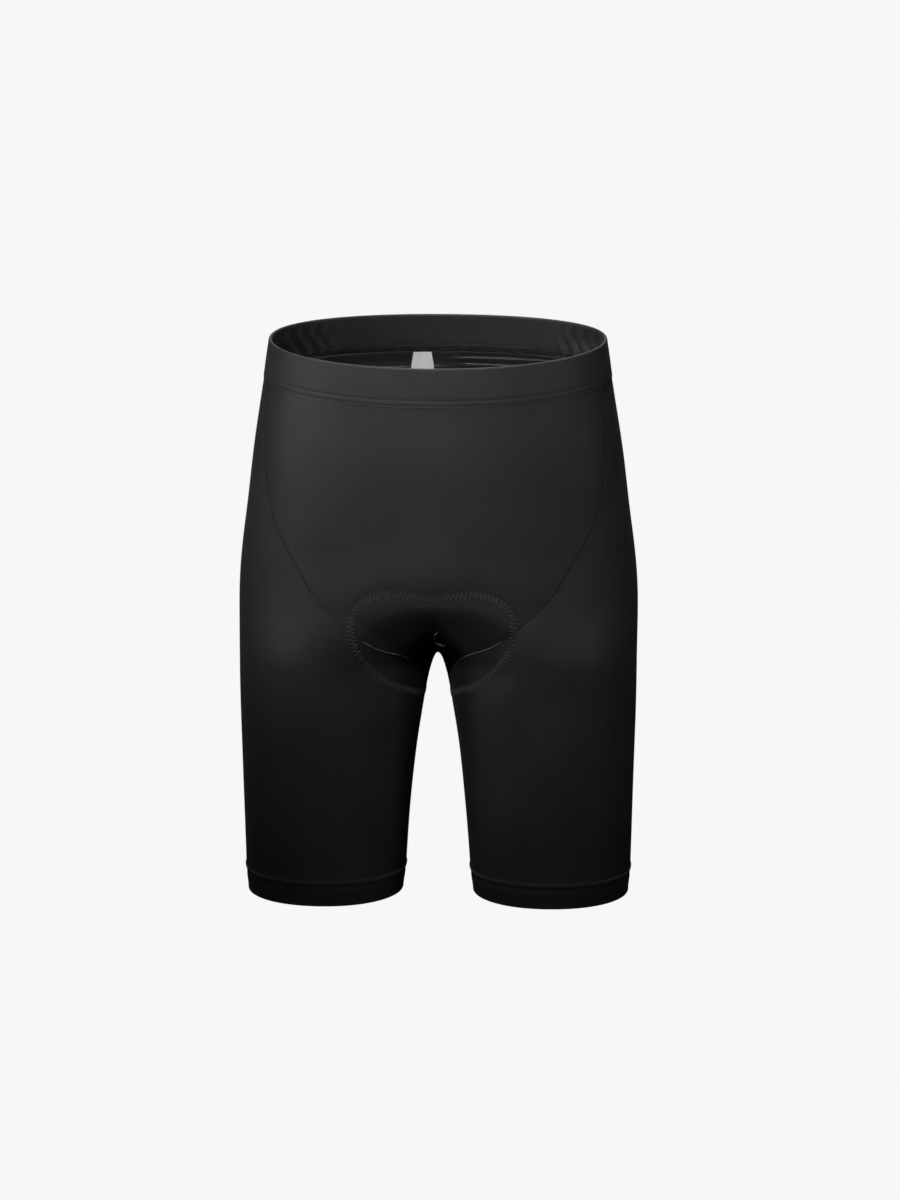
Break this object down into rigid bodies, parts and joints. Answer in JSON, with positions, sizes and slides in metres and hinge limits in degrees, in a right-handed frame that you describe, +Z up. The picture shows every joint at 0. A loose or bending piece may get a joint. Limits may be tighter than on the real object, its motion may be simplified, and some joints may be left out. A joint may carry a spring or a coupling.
{
  "type": "padded cycling shorts",
  "caption": "Close-fitting black knee-length shorts with an elastic waistband, a padded crotch and turned-up hems, hollow as when worn.",
  "frame": {"origin": "middle of the waist opening, at the height of the waistband's top edge at the sides", "axes": "+Z up along the body, -Y the front, +X the wearer's left"},
  "size_m": [0.3444, 0.2346, 0.4909],
  "materials": {
    "cloth": "satin warp knit with elastane",
    "band": "satin warp knit folded over an elastic",
    "pad": "brushed microfibre over foam",
    "label": "matt satin ribbon"
  },
  "bodies": {
    "root": {"waistband": "band", "front_panel": "cloth", "back_panel": "cloth", "leg_panel_left": "cloth", "leg_panel_right": "cloth", "pad": "pad", "label": "label"}
  },
  "joints": []
}
